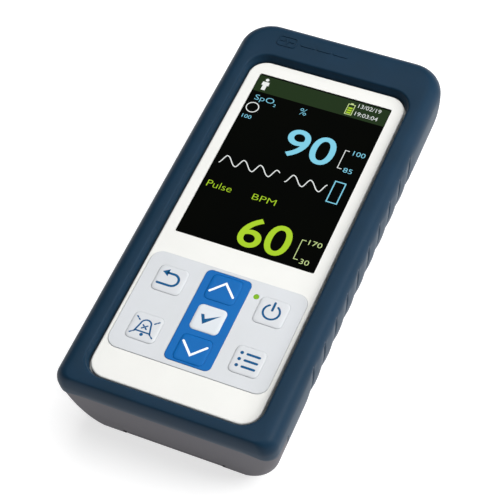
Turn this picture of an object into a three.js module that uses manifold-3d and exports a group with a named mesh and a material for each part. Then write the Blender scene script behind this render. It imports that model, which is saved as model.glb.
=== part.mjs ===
// Handheld patient monitor (pulse oximeter) in a rubber protective boot.
// Millimetres. The monitor lies on its back: +X is right, +Y points to the sensor end and
// +Z comes out of the screen. The origin is under the middle of the whole, on its flat back.

import * as THREE from 'three';
import { mergeVertices } from 'three/addons/utils/BufferGeometryUtils.js';
import Module from 'manifold-3d';

const wasm = await Module();
wasm.setup();

// Facets: steps in a quarter turn of a corner, and in a full circle
const CORNER_STEPS = 5;      // on the case and boot
const SMALL_STEPS = 2;       // on keys and other small corners
const ROUND_STEPS = 12;

// Outer form of the boot
const HEIGHT = 32.8;
const END_Y = 82;            // both ends, at the widest level
const WIDE_Z = 26.5;         // height of the widest level
const WIDE_HALF = 37.8;      // half width there
const BASE_HALF = 27;        // half width of the flat back
const BASE_TOP = 74;         // where the flat back stops at the sensor end
const CREST_HALF = 33;       // half width of the crest round the front window
const CREST_TOP = 77;        // where the flat top rim turns down at the sensor end
const CREST_LOW = 81;        // where the low rim turns down
const LOW_DRAFT = 0.117;     // slope of the low end
const RADIUS_TOP = 11.5;     // plan corner radius at the sensor end
const RADIUS_LOW = 5;         // plan corner radius at the low end

// Layers
const CLEAR = 0.3;
const BOOT_WALL = 2.6;
const CASE_WALL = 2.1;
const FACE_WALL = 1.7;       // round the raised white face
const UNIT_INSET = BOOT_WALL + CLEAR;
const HOLLOW_INSET = UNIT_INSET + CASE_WALL;
const BOOT_BACK = 2;
const UNIT_BACK_Z = BOOT_BACK + CLEAR;
const PLATEAU_Z = 0.4;       // the part of the case back that shows through the boot
const PARTING_Z = 20.6;      // between the two case halves
const SHOULDER_Z = 24.6;     // where the case starts to turn in under the boot's lip
const SHOULDER_R = 3;
const FACE_Z = 30;           // the white face
const FACE_SKIN = 2.2;
const BOARD_Z = 21;
const BOARD_THICK = 1.6;

// Front window of the boot and the white face inside it
const WINDOW = { halfX: 29.6, yLow: -76.4, yTop: 64.6, radius: 7 };
const CREST = { halfX: 30.3, yLow: -77.2, yTop: 65.4, radius: 7.5 };
const FACE_GAP = 0.6;

// Screen: a 3.5 inch panel in portrait
const SCREEN = { width: 49, length: 73.5, y: 21.2 };

// Keypad
const PANEL = { halfX: 27.6, yLow: -64.3, yTop: -24.8, radius: 4, steps: 4 };
const STRIP = { halfX: 8, yLow: -62.4, yTop: -26.2, radius: 2, steps: SMALL_STEPS };
const PANEL_SEAT_Z = 29.1;
const PANEL_TOP_Z = 30.25;
const KEY_TOP_Z = 30.65;
const KEY_RADIUS = 1.7;
const SIDE_KEY_X = 17.8;
const UPPER_KEY_Y = -34.8;
const LOWER_KEY_Y = -54.4;
const NAV_PITCH = 12.2;
const NAV_Y = -44.4;
const SIDE_KEY = { width: 10.2, length: 10.2 };
const ARROW_KEY = { width: 10.6, length: 10 };
const OK_KEY = { width: 10, length: 10 };
const KEYS = [
  { name: 'return', x: -SIDE_KEY_X, y: UPPER_KEY_Y, ...SIDE_KEY },
  { name: 'silence', x: -SIDE_KEY_X, y: LOWER_KEY_Y, ...SIDE_KEY },
  { name: 'power', x: SIDE_KEY_X, y: UPPER_KEY_Y, ...SIDE_KEY },
  { name: 'menu', x: SIDE_KEY_X, y: LOWER_KEY_Y, ...SIDE_KEY },
  { name: 'up', x: 0, y: NAV_Y + NAV_PITCH, ...ARROW_KEY },
  { name: 'ok', x: 0, y: NAV_Y, ...OK_KEY },
  { name: 'down', x: 0, y: NAV_Y - NAV_PITCH, ...ARROW_KEY },
];
const LED = { x: 10.9, y: -30.8, radius: 0.9 };

// Battery bay: two columns of two AA cells
const CELL_RADIUS = 7.1;
const CELL_LENGTH = 50.5;
const CELL_NUB = 1.2;
const NUB_RADIUS = 2.75;
const CELL_X = 7.5;
const CELL_Z = 11.6;
const BAY = { halfX: 15.8, yLow: -72.9, yTop: 35.3, topZ: 19 };
const TRAY_WALL = 1;
const CONTACT = 0.5;
const CONTACT_GAP = 0.2;
const BACK_WINDOW = { halfX: 22, yLow: -100, yTop: 55, radius: 5 };
const DOOR = { halfX: 17, lipX: 18, yTop: 37, thick: 1.8, lipZ: 1.3 };

// Sensor end
const SOCKET = { x: -8, z: 12.9, halfX: 15.4, halfZ: 5.9 };
const PLUG_BAY = { halfX: 16, halfZ: 6.3 };
const USB = { x: 16.35, z: 13.2, halfX: 3.85, halfZ: 1.95, wall: 0.45 };
const FLAP = { halfX: 4.8, zLow: 9.6, zTop: 17.4, inner: 78.9, outer: 80.6, hingeY: 79.9 };

// Speaker, and the slots over it in the back
const SPEAKER_Y = 50;
const GRILLE = { rows: 4, yLow: 42.2, pitch: 3, width: 1.6, halfX: 8 };

// Fasteners
const CASE_SCREWS = [[-24, 66], [24, 66], [-24, -73.2], [24, -73.2]];
const BOARD_SCREWS = [[-27, -46], [27, -46]];
const POSTS = [...BOARD_SCREWS, [-27, 40], [27, 40]];

const group = new THREE.Group();

function material(color, roughness, metalness = 0) {
  return new THREE.MeshStandardMaterial({ color, roughness, metalness });
}

const NAVY_RUBBER = material(0x254463, 0.75);
const WHITE_PLASTIC = material(0xf6f6f2, 0.4);
const GREY_PLASTIC = material(0x57535a, 0.6);
const PANEL_GREY = material(0xe2e6ea, 0.45);
const NAV_BLUE = material(0x1a6fc0, 0.4);
const KEY_WHITE = material(0xf2f5f8, 0.4);
const SCREEN_GLASS = material(0x050605, 0.1);
const LCD_BLACK = material(0x101214, 0.3);
const BLACK_PLASTIC = material(0x1b1c1e, 0.55);
const BOARD_GREEN = material(0x1f5a3a, 0.5);
const FLEX_AMBER = material(0xb8742a, 0.4);
const TIN = material(0xc2c5c8, 0.3, 1);
const STEEL = material(0x8d9094, 0.3, 1);
const CELL_WRAP = material(0x2b2f36, 0.35);
const GASKET_BLACK = material(0x222326, 0.9);
const LABEL_SILVER = material(0xd5d7d9, 0.5);
const LED_GREEN = material(0x7fb52a, 0.3);

// ---- solids ----------------------------------------------------------------------------

function toSolid(geometry) {
  const bare = geometry.clone();
  bare.deleteAttribute('normal');
  bare.deleteAttribute('uv');
  const merged = mergeVertices(bare, 1e-4);
  const vertProperties = new Float32Array(merged.attributes.position.array);
  const triVerts = new Uint32Array(merged.index.array);
  return new wasm.Manifold(new wasm.Mesh({ numProp: 3, vertProperties, triVerts }));
}

function toGeometry(solid) {
  const mesh = solid.getMesh();
  const geometry = new THREE.BufferGeometry();
  geometry.setAttribute('position', new THREE.BufferAttribute(mesh.vertProperties, 3));
  geometry.setIndex(new THREE.BufferAttribute(mesh.triVerts, 1));
  return geometry;
}

function combine(base, added, removed) {
  let solid = toSolid(base);
  for (const geometry of added) solid = solid.add(toSolid(geometry));
  for (const geometry of removed) solid = solid.subtract(toSolid(geometry));
  return toGeometry(solid);
}

function cut(base, ...removed) {
  return combine(base, [], removed);
}

function box(xLow, xHigh, yLow, yHigh, zLow, zHigh) {
  const geometry = new THREE.BoxGeometry(xHigh - xLow, yHigh - yLow, zHigh - zLow);
  geometry.translate((xLow + xHigh) / 2, (yLow + yHigh) / 2, (zLow + zHigh) / 2);
  return geometry;
}

function cylinder(radius, x, y, zLow, zHigh, steps = ROUND_STEPS) {
  const geometry = new THREE.CylinderGeometry(radius, radius, zHigh - zLow, steps);
  geometry.rotateX(Math.PI / 2);
  geometry.translate(x, y, (zLow + zHigh) / 2);
  return geometry;
}

// A rounded rectangle with its own corner radius at each end, counter-clockwise from the low right.
function ringPoints(level) {
  const { z, halfX, yLow, yTop, radiusLow, radiusTop, x = 0, steps = CORNER_STEPS } = level;
  const corners = [
    [halfX - radiusLow, yLow + radiusLow, radiusLow, -90],
    [halfX - radiusTop, yTop - radiusTop, radiusTop, 0],
    [-halfX + radiusTop, yTop - radiusTop, radiusTop, 90],
    [-halfX + radiusLow, yLow + radiusLow, radiusLow, 180],
  ];
  const points = [];
  for (const [centreX, centreY, radius, start] of corners) {
    for (let step = 0; step <= steps; step += 1) {
      const angle = THREE.MathUtils.degToRad(start + (90 * step) / steps);
      points.push([x + centreX + radius * Math.cos(angle), centreY + radius * Math.sin(angle), z]);
    }
  }
  return points;
}

// A closed solid through rounded-rectangle levels, lowest first.
function loft(levels) {
  const rings = levels.map(ringPoints);
  const count = rings[0].length;
  const positions = rings.flat(2);
  const index = [];
  for (let ring = 0; ring + 1 < rings.length; ring += 1) {
    for (let step = 0; step < count; step += 1) {
      const next = (step + 1) % count;
      const [a, b] = [ring * count + step, ring * count + next];
      index.push(a, b, b + count, a, b + count, a + count);
    }
  }
  const last = (rings.length - 1) * count;
  for (let step = 1; step + 1 < count; step += 1) {
    index.push(0, step + 1, step);
    index.push(last, last + step, last + step + 1);
  }
  const geometry = new THREE.BufferGeometry();
  geometry.setAttribute('position', new THREE.Float32BufferAttribute(positions, 3));
  geometry.setIndex(index);
  return geometry;
}

function level(z, shape, grow = 0) {
  const radius = Math.max(shape.radius + grow, 0.2);
  return {
    ...shape,
    z,
    halfX: shape.halfX + grow,
    yLow: shape.yLow - grow,
    yTop: shape.yTop + grow,
    radiusLow: radius,
    radiusTop: radius,
  };
}

function plate(shape, zLow, zHigh, grow = 0) {
  return loft([level(zLow, shape, grow), level(zHigh, shape, grow)]);
}

// One level of the outer form, moved in by inset. The side is a quarter ellipse from the flat
// back up to the widest level, and another from there to the crest.
function bodyLevel(z, inset = 0) {
  const above = z > WIDE_Z;
  const rise = above ? (z - WIDE_Z) / (HEIGHT - WIDE_Z) : (WIDE_Z - z) / WIDE_Z;
  const reach = Math.sqrt(Math.max(0, 1 - rise * rise));
  const blend = (edge, wide) => edge + (wide - edge) * reach;
  const halfX = blend(above ? CREST_HALF : BASE_HALF, WIDE_HALF);
  const yTop = blend(above ? CREST_TOP : BASE_TOP, END_Y);
  const yLow = above ? -blend(CREST_LOW, END_Y) : LOW_DRAFT * (WIDE_Z - z) - END_Y;
  const pulledIn = WIDE_HALF - halfX;
  return {
    z,
    halfX: halfX - inset,
    yLow: yLow + inset,
    yTop: yTop - inset,
    radiusTop: Math.max(1.2, RADIUS_TOP - 0.8 * pulledIn - inset),
    radiusLow: Math.max(1.2, RADIUS_LOW - 0.35 * pulledIn - inset),
  };
}

// Heights that share the quarter ellipse out evenly
const sine = (angle) => Math.sin(THREE.MathUtils.degToRad(angle));
const BELLY = [75, 60, 45, 30, 15].map((angle) => WIDE_Z * (1 - sine(angle)));
const SHOULDER = [0, 22.5, 45, 67.5, 90].map((angle) => WIDE_Z + (HEIGHT - WIDE_Z) * sine(angle));

function bellyBetween(zLow, zHigh) {
  return [zLow, ...BELLY.filter((z) => z > zLow + 0.5 && z < zHigh - 0.5), zHigh];
}

// The case's own outer form, or a copy of it moved out by grow, up to the flat under the boot's lip
function unitLevels(zLow, grow) {
  const levels = bellyBetween(zLow, SHOULDER_Z).map((z) => bodyLevel(z, UNIT_INSET - grow));
  const radius = SHOULDER_R + grow;
  for (const angle of [30, 60, 90]) {
    const turn = THREE.MathUtils.degToRad(angle);
    const pull = radius * (1 - Math.cos(turn));
    const turned = bodyLevel(SHOULDER_Z, UNIT_INSET - grow + pull);
    levels.push({ ...turned, z: SHOULDER_Z + radius * Math.sin(turn) });
  }
  return levels;
}

function addPiece(name, geometry, finish) {
  const mesh = new THREE.Mesh(geometry, finish);
  mesh.name = name;
  group.add(mesh);
  return mesh;
}

// ---- boot ------------------------------------------------------------------------------

const GRIP = { count: 10, first: 41.2, pitch: 9.9, depth: 1.1, halfWidth: 1.9, zLow: 6, zHigh: 24 };
const BOOT_END_Y = -69.7;     // behind this the boot has no back or lower wall
const BOOT_LOW_EDGE_Z = 24;   // lower edge of its front wall there

// A V-shaped groove up the side of the boot, following the bulge of the belly
function gripNotch(side, y) {
  const rings = [];
  for (const z of bellyBetween(GRIP.zLow, GRIP.zHigh)) {
    const skin = bodyLevel(z).halfX;
    const outside = skin + GRIP.depth;
    const [yTop, yLow] = [y + 2 * GRIP.halfWidth, y - 2 * GRIP.halfWidth];
    rings.push([[skin - GRIP.depth, y, z], [outside, yTop, z], [outside, yLow, z]]);
  }
  const index = [];
  const last = (rings.length - 1) * 3;
  for (let ring = 0; ring + 1 < rings.length; ring += 1) {
    for (let step = 0; step < 3; step += 1) {
      const a = ring * 3 + step;
      const b = ring * 3 + ((step + 1) % 3);
      index.push(a, a + 3, b + 3, a, b + 3, b);
    }
  }
  index.push(0, 1, 2, last, last + 2, last + 1);
  if (side < 0) index.reverse();
  const positions = rings.flat().map(([x, py, z]) => [side * x, py, z]).flat();
  const geometry = new THREE.BufferGeometry();
  geometry.setAttribute('position', new THREE.Float32BufferAttribute(positions, 3));
  geometry.setIndex(index);
  return geometry;
}

function makeBoot() {
  const outer = loft([0, ...[...BELLY].sort((a, b) => a - b), ...SHOULDER].map((z) => bodyLevel(z)));
  const cavity = loft(unitLevels(BOOT_BACK, CLEAR));
  const window = loft([
    level(FACE_Z - 4, WINDOW),
    level(FACE_Z, WINDOW),
    level(HEIGHT, CREST),
    level(HEIGHT + 1, CREST, 0.5),
  ]);
  const backWindow = plate(BACK_WINDOW, -1, BOOT_BACK + 1);
  const lowOpening = box(-50, 50, -100, BOOT_END_Y, -1, BOOT_LOW_EDGE_Z);
  const plugWindow = box(SOCKET.x - PLUG_BAY.halfX, SOCKET.x + PLUG_BAY.halfX, 70, 90,
    SOCKET.z - PLUG_BAY.halfZ, SOCKET.z + PLUG_BAY.halfZ);
  const flapWindow = box(USB.x - FLAP.halfX - 0.6, USB.x + FLAP.halfX + 0.6, 70, 90,
    FLAP.zLow - 1.6, FLAP.zTop + 0.7);
  const notches = [];
  for (let count = 0; count < GRIP.count; count += 1) {
    for (const side of [-1, 1]) notches.push(gripNotch(side, GRIP.first - GRIP.pitch * count));
  }
  return cut(outer, cavity, window, backWindow, lowOpening, plugWindow, flapWindow, ...notches);
}

addPiece('boot', makeBoot(), NAVY_RUBBER);

// ---- case halves -----------------------------------------------------------------------

// A flat ring that follows the wall, for the gasket and its groove
function wallRing(outerInset, innerInset, zLow, zHigh) {
  const outer = loft([zLow, zHigh].map((z) => ({ ...bodyLevel(PARTING_Z, outerInset), z })));
  const inner = loft([zLow - 1, zHigh + 1].map((z) => ({ ...bodyLevel(PARTING_Z, innerInset), z })));
  return cut(outer, inner);
}

const GROOVE = { outer: UNIT_INSET + 0.3, inner: UNIT_INSET + 1.7, half: 0.8 };
const groove = wallRing(GROOVE.outer, GROOVE.inner, PARTING_Z - GROOVE.half, PARTING_Z + GROOVE.half);

function keyShape(key) {
  const [halfX, halfY] = [key.width / 2, key.length / 2];
  const [yLow, yTop] = [key.y - halfY, key.y + halfY];
  return { x: key.x, halfX, yLow, yTop, radius: KEY_RADIUS, steps: SMALL_STEPS };
}

function keyHole(key, gap, zLow, zHigh) {
  const shape = keyShape(key);
  return loft([level(zLow, shape, gap), level(zHigh, shape, gap)]);
}

const SCREEN_SHAPE = {
  halfX: SCREEN.width / 2,
  yLow: SCREEN.y - SCREEN.length / 2,
  yTop: SCREEN.y + SCREEN.length / 2,
  radius: 0.3,
  steps: 1,
};

function makeFrontCase() {
  const skirt = loft(unitLevels(PARTING_Z + 0.2, 0));
  const face = loft([
    level(FACE_Z - 3, WINDOW, -FACE_GAP),
    level(FACE_Z - 0.5, WINDOW, -FACE_GAP - 0.1),
    level(FACE_Z, WINDOW, -FACE_GAP - 0.5),
  ]);
  const inside = bodyLevel(PARTING_Z, HOLLOW_INSET);
  const hollow = loft([{ ...inside, z: PARTING_Z - 1 }, { ...inside, z: SHOULDER_Z + 0.8 }]);
  const faceInside = { ...WINDOW, radius: 3.5, steps: SMALL_STEPS };
  const faceHollow = plate(faceInside, SHOULDER_Z, FACE_Z - FACE_SKIN, -FACE_GAP - FACE_WALL);
  const bosses = CASE_SCREWS.map(([x, y]) => cylinder(3, x, y, PARTING_Z + 0.2, SHOULDER_Z + 1.4));
  const shell = cut(combine(skirt, [face], []), hollow, faceHollow);
  const holes = CASE_SCREWS.map(([x, y]) => cylinder(1.4, x, y, PARTING_Z - 1, 25));
  const keyHoles = KEYS.map((key) => keyHole(key, 0.3, SHOULDER_Z, FACE_Z + 1));
  const screenHole = plate(SCREEN_SHAPE, SHOULDER_Z, FACE_Z + 1, 0.4);
  const panelSeat = plate(PANEL, PANEL_SEAT_Z, FACE_Z + 1, 0.25);
  const ledHole = cylinder(LED.radius + 0.2, LED.x, LED.y, SHOULDER_Z, FACE_Z + 1, 10);
  return combine(shell, bosses, [...holes, ...keyHoles, screenHole, panelSeat, ledHole, groove]);
}

// The low end of the rear case has no boot over it. It reaches out to the boot's outer form, and
// above the parting it is a skin round the front case. Its end face leans in towards the back.
const FLARE = {
  yTop: BOOT_END_Y - CLEAR,
  topZ: BOOT_LOW_EDGE_Z - CLEAR,
  faceY: -80.7,
  slope: 0.148,
};

function flareLevel(z) {
  const form = bodyLevel(z);
  const yLow = FLARE.faceY + FLARE.slope * (FLARE.topZ - z);
  return { ...form, yLow, yTop: FLARE.yTop, radiusLow: RADIUS_LOW - 1, radiusTop: 0.4 };
}

function makeRearCase() {
  const shell = loft(bellyBetween(UNIT_BACK_Z, PARTING_Z - 0.2).map((z) => bodyLevel(z, UNIT_INSET)));
  const flare = loft(bellyBetween(PLATEAU_Z, FLARE.topZ).map(flareLevel));
  const frontRoom = loft([
    bodyLevel(PARTING_Z - 0.2, UNIT_INSET - CLEAR),
    bodyLevel(FLARE.topZ + 1, UNIT_INSET - CLEAR),
  ]);
  const plateau = plate({ ...BACK_WINDOW, yLow: -72 }, PLATEAU_Z, UNIT_BACK_Z + 0.5, -0.5);
  const inside = bellyBetween(UNIT_BACK_Z + CASE_WALL, PARTING_Z - 0.2);
  const hollow = loft([
    ...inside.map((z) => bodyLevel(z, HOLLOW_INSET)),
    { ...bodyLevel(PARTING_Z, HOLLOW_INSET), z: PARTING_Z + 1 },
  ]);
  const bosses = CASE_SCREWS.map(([x, y]) => cylinder(4.2, x, y, 2.6, PARTING_Z - 0.2));
  const posts = POSTS.map(([x, y]) => cylinder(2.6, x, y, 4, BOARD_Z - 0.2));
  const skin = cut(combine(shell, [flare, plateau], []), hollow, frontRoom);
  const body = combine(skin, [...bosses, ...posts], []);
  const doorSlot = box(-DOOR.halfX - CLEAR, DOOR.halfX + CLEAR, -100, DOOR.yTop + CLEAR, -1, DOOR.lipZ);
  const lipSlot = box(-DOOR.lipX - CLEAR, DOOR.lipX + CLEAR, -100, DOOR.yTop + CLEAR,
    DOOR.lipZ - CLEAR, PLATEAU_Z + DOOR.thick + CLEAR);
  const cellOpening = box(-BAY.halfX, BAY.halfX, BAY.yLow, BAY.yTop, 1, 6);
  const plugBay = box(SOCKET.x - PLUG_BAY.halfX, SOCKET.x + PLUG_BAY.halfX, 73, 90,
    SOCKET.z - PLUG_BAY.halfZ, SOCKET.z + PLUG_BAY.halfZ);
  const usbHole = box(USB.x - 4.3, USB.x + 4.3, 72, 90, USB.z - 2.4, USB.z + 2.4);
  const pockets = CASE_SCREWS.map(([x, y]) => cylinder(3, x, y, -1, 4.8));
  const shanks = CASE_SCREWS.map(([x, y]) => cylinder(1.5, x, y, 4, PARTING_Z, 10));
  const pilots = BOARD_SCREWS.map(([x, y]) => cylinder(1.3, x, y, 14, BOARD_Z, 10));
  const grille = [];
  for (let row = 0; row < GRILLE.rows; row += 1) {
    const yLow = GRILLE.yLow + GRILLE.pitch * row;
    grille.push(box(-GRILLE.halfX, GRILLE.halfX, yLow, yLow + GRILLE.width, -1, 6));
  }
  const screwHoles = [...pockets, ...shanks, ...pilots];
  return cut(body, doorSlot, lipSlot, cellOpening, plugBay, usbHole, ...screwHoles, ...grille, groove);
}

addPiece('front_case', makeFrontCase(), WHITE_PLASTIC);
addPiece('rear_case', makeRearCase(), GREY_PLASTIC);

function makeGasket() {
  return wallRing(GROOVE.outer + 0.15, GROOVE.inner - 0.15, PARTING_Z - 0.6, PARTING_Z + 0.6);
}

addPiece('case_gasket', makeGasket(), GASKET_BLACK);

// ---- display ---------------------------------------------------------------------------

const LCD = {
  halfX: 27,
  yLow: SCREEN.y - 40,
  yTop: SCREEN.y + 40,
  zLow: 25,
  zTop: 27.5,
  radius: 0.5,
  steps: 1,
};
const LCD_FRAME_Z = 23.4;

function makeLcdFrame() {
  const shape = { ...LCD, halfX: 31.5, yLow: LCD.yLow - 2, yTop: LCD.yTop + 1.4, radius: 4 };
  const outer = plate(shape, LCD_FRAME_Z, LCD.zLow - 0.2);
  const opening = plate(LCD, LCD_FRAME_Z - 1, LCD.zLow, -5);
  const legs = [];
  for (const side of [-1, 1]) {
    for (const y of [LCD.yLow + 2, LCD.yTop - 2]) {
      legs.push(cylinder(2, side * 27, y, BOARD_Z + BOARD_THICK + 0.1, LCD_FRAME_Z + 0.5, 10));
    }
  }
  return combine(outer, legs, [opening]);
}

// A ribbon out of the panel's low edge and down to the board
function makeDisplayFlex() {
  const thick = 0.25;
  const out = LCD.yLow - 3.6;
  const [top, foot] = [26.2, BOARD_Z + BOARD_THICK + 0.1];
  const side = new THREE.Shape();
  side.moveTo(LCD.yLow - 0.3, top);
  side.lineTo(out, top);
  side.lineTo(out, foot);
  side.lineTo(out + thick, foot);
  side.lineTo(out + thick, top - thick);
  side.lineTo(LCD.yLow - 0.3, top - thick);
  side.closePath();
  const ribbon = new THREE.ExtrudeGeometry(side, { depth: 16, bevelEnabled: false });
  ribbon.rotateX(Math.PI / 2);
  ribbon.rotateZ(Math.PI / 2);
  ribbon.translate(-8, 0, 0);
  return ribbon;
}

addPiece('display_lens', plate(SCREEN_SHAPE, FACE_Z - FACE_SKIN, FACE_Z - 0.1, 0.15), SCREEN_GLASS);
addPiece('lcd_panel', plate(LCD, LCD.zLow, LCD.zTop), LCD_BLACK);
addPiece('lcd_frame', makeLcdFrame(), BLACK_PLASTIC);
addPiece('display_flex', makeDisplayFlex(), FLEX_AMBER);

// ---- keypad ----------------------------------------------------------------------------

function panelKeyHole(key) {
  return keyHole(key, 0.25, PANEL_SEAT_Z - 1, PANEL_TOP_Z + 1);
}

function makeOverlay() {
  const panel = loft([
    level(PANEL_SEAT_Z + 0.1, PANEL),
    level(PANEL_TOP_Z - 0.2, PANEL),
    level(PANEL_TOP_Z, PANEL, -0.25),
  ]);
  const stripHole = plate(STRIP, PANEL_SEAT_Z - 1, PANEL_TOP_Z + 1, 0.2);
  const keyHoles = KEYS.filter((key) => key.x !== 0).map(panelKeyHole);
  const ledHole = cylinder(LED.radius + 0.2, LED.x, LED.y, PANEL_SEAT_Z - 1, PANEL_TOP_Z + 1, 10);
  return cut(panel, stripHole, ...keyHoles, ledHole);
}

function makeNavStrip() {
  const strip = loft([
    level(PANEL_SEAT_Z + 0.1, STRIP),
    level(PANEL_TOP_Z - 0.1, STRIP),
    level(PANEL_TOP_Z + 0.1, STRIP, -0.25),
  ]);
  const keyHoles = KEYS.filter((key) => key.x === 0).map(panelKeyHole);
  return cut(strip, ...keyHoles);
}

// A key: short plunger, flange under the face, then the cap with its softly rounded top
const KEY_FLANGE = { grow: 0.6, zLow: 26.6, zHigh: 27.5 };
const PLUNGER_HALF = 1.5;
const PLUNGER_FOOT_Z = 25.9;

function makeKey(key) {
  const cap = keyShape(key);
  const [yLow, yTop] = [key.y - PLUNGER_HALF, key.y + PLUNGER_HALF];
  const plunger = { ...cap, halfX: PLUNGER_HALF, yLow, yTop, radius: 1 };
  return loft([
    level(PLUNGER_FOOT_Z, plunger),
    level(KEY_FLANGE.zLow, plunger),
    level(KEY_FLANGE.zLow, cap, KEY_FLANGE.grow),
    level(KEY_FLANGE.zHigh, cap, KEY_FLANGE.grow),
    level(KEY_FLANGE.zHigh, cap),
    level(KEY_TOP_Z - 0.4, cap),
    level(KEY_TOP_Z, cap, -0.7),
  ]);
}

const SWITCH_TOP_Z = 25;

function makeSwitch(key) {
  const foot = BOARD_Z + BOARD_THICK + 0.1;
  const body = box(key.x - 3, key.x + 3, key.y - 3, key.y + 3, foot, SWITCH_TOP_Z - 0.6);
  const actuator = cylinder(1.7, key.x, key.y, foot + 1, SWITCH_TOP_Z, 8);
  return combine(body, [actuator], []);
}

const KEY_FINISH = { up: NAV_BLUE, down: NAV_BLUE, ok: KEY_WHITE };

addPiece('keypad_overlay', makeOverlay(), PANEL_GREY);
addPiece('nav_strip', makeNavStrip(), NAV_BLUE);
for (const key of KEYS) {
  addPiece(`key_${key.name}`, makeKey(key), KEY_FINISH[key.name] ?? PANEL_GREY);
  addPiece(`switch_${key.name}`, makeSwitch(key), TIN);
}
addPiece('led_light_pipe', cylinder(LED.radius, LED.x, LED.y, 24, PANEL_TOP_Z + 0.05, 10), LED_GREEN);

// ---- boards ----------------------------------------------------------------------------

function makeMainBoard() {
  const board = plate({ halfX: 30, yLow: -64.5, yTop: 61.5, radius: 2 }, BOARD_Z, BOARD_Z + BOARD_THICK);
  const holes = BOARD_SCREWS.map(([x, y]) => cylinder(1.4, x, y, BOARD_Z - 1, BOARD_Z + 3, 10));
  return cut(board, ...holes);
}

addPiece('main_board', makeMainBoard(), BOARD_GREEN);
addPiece('shield_can', box(-13, 13, 40, 58, BOARD_Z - 2.6, BOARD_Z - 0.2), TIN);
addPiece('connector_board', box(-24, 20, 70.5, 71.9, 6.6, 19), BOARD_GREEN);

// ---- speaker ---------------------------------------------------------------------------

function makeSpeaker() {
  const profile = [[0, 0], [10.5, 0], [12, 0.8], [12, 2], [8, 2.4], [8, 4], [0, 4]];
  const speaker = new THREE.LatheGeometry(profile.map(([r, h]) => new THREE.Vector2(r, h)), ROUND_STEPS);
  speaker.rotateX(Math.PI / 2);
  speaker.translate(0, SPEAKER_Y, UNIT_BACK_Z + CASE_WALL + 0.3);
  return speaker;
}

addPiece('speaker', makeSpeaker(), BLACK_PLASTIC);

// ---- sensor socket, data socket and its flap -------------------------------------------

// A D-shaped outline, wider at the top
function dShape(halfWide, halfNarrow, halfHeight) {
  const shape = new THREE.Shape();
  shape.moveTo(-halfNarrow, -halfHeight);
  shape.lineTo(halfNarrow, -halfHeight);
  shape.lineTo(halfWide, halfHeight);
  shape.lineTo(-halfWide, halfHeight);
  shape.closePath();
  return shape;
}

// Extrude a shape drawn in X and Z along +Y
function alongY(shape, yLow, yHigh) {
  const solid = new THREE.ExtrudeGeometry(shape, { depth: yHigh - yLow, bevelEnabled: false });
  solid.rotateX(Math.PI / 2);
  solid.scale(1, 1, -1);
  solid.translate(0, yHigh, 0);
  return flipped(solid);
}

function flipped(geometry) {
  const bare = geometry.clone();
  bare.deleteAttribute('normal');
  bare.deleteAttribute('uv');
  const merged = mergeVertices(bare, 1e-4);
  merged.setIndex([...merged.index.array].reverse());
  return merged;
}

const SOCKET_FLANGE = { yLow: 74.6, yHigh: 75.6 };
const SOCKET_FACE_Y = 77;

function makeSocketShell() {
  const { halfX, halfZ } = SOCKET;
  const flange = box(-halfX, halfX, SOCKET_FLANGE.yLow, SOCKET_FLANGE.yHigh, -halfZ, halfZ);
  const shroud = alongY(dShape(9.2, 7.8, 4.3), SOCKET_FLANGE.yLow, SOCKET_FACE_Y);
  const bore = alongY(dShape(8.7, 7.3, 3.8), SOCKET_FLANGE.yLow - 1, SOCKET_FACE_Y + 1);
  const shell = combine(flange, [shroud], [bore]);
  shell.translate(SOCKET.x, 0, SOCKET.z);
  return shell;
}

function makeSocketInsert() {
  const insert = alongY(dShape(8.4, 7, 3.5), 72.1, SOCKET_FACE_Y - 0.2);
  const holes = [];
  for (const [count, z] of [[5, 1.4], [4, -1.4]]) {
    for (let pin = 0; pin < count; pin += 1) {
      const hole = new THREE.CylinderGeometry(0.6, 0.6, 3, 6);
      hole.translate((pin - (count - 1) / 2) * 2.75, SOCKET_FACE_Y, z);
      holes.push(hole);
    }
  }
  const piece = cut(insert, ...holes);
  piece.translate(SOCKET.x, 0, SOCKET.z);
  return piece;
}

function makeUsbSocket() {
  const { x, z, halfX, halfZ, wall } = USB;
  const shell = box(x - halfX, x + halfX, 72.1, 76.3, z - halfZ, z + halfZ);
  const mouth = box(x - halfX + wall, x + halfX - wall, 73, 78, z - halfZ + wall, z + halfZ - wall);
  return cut(shell, mouth);
}

function makeUsbFlap() {
  const lid = box(USB.x - FLAP.halfX, USB.x + FLAP.halfX, FLAP.inner, FLAP.outer, FLAP.zLow, FLAP.zTop);
  const barrel = new THREE.CylinderGeometry(0.7, 0.7, 2 * FLAP.halfX, 10);
  barrel.rotateZ(Math.PI / 2);
  barrel.translate(USB.x, FLAP.hingeY, FLAP.zLow);
  const nub = box(USB.x - 3, USB.x + 3, FLAP.inner - 1, FLAP.inner + 0.5, USB.z - 1.3, USB.z + 1.3);
  const pullTab = box(USB.x - 2.5, USB.x + 2.5, FLAP.outer - 0.5, FLAP.outer + 0.5,
    FLAP.zTop - 1.4, FLAP.zTop - 0.2);
  return combine(lid, [barrel, nub, pullTab], []);
}

addPiece('sensor_socket_shell', makeSocketShell(), TIN);
addPiece('sensor_socket_insert', makeSocketInsert(), NAV_BLUE);
addPiece('usb_socket', makeUsbSocket(), TIN);
addPiece('usb_flap', makeUsbFlap(), GREY_PLASTIC);

// ---- battery bay -----------------------------------------------------------------------

function makeTray() {
  const outerHalf = BAY.halfX + TRAY_WALL;
  const outer = box(-outerHalf, outerHalf, BAY.yLow - TRAY_WALL, BAY.yTop + TRAY_WALL,
    UNIT_BACK_Z + CASE_WALL + 0.2, BAY.topZ + TRAY_WALL);
  const inner = box(-BAY.halfX, BAY.halfX, BAY.yLow, BAY.yTop, 0, BAY.topZ);
  return cut(outer, inner);
}

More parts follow.
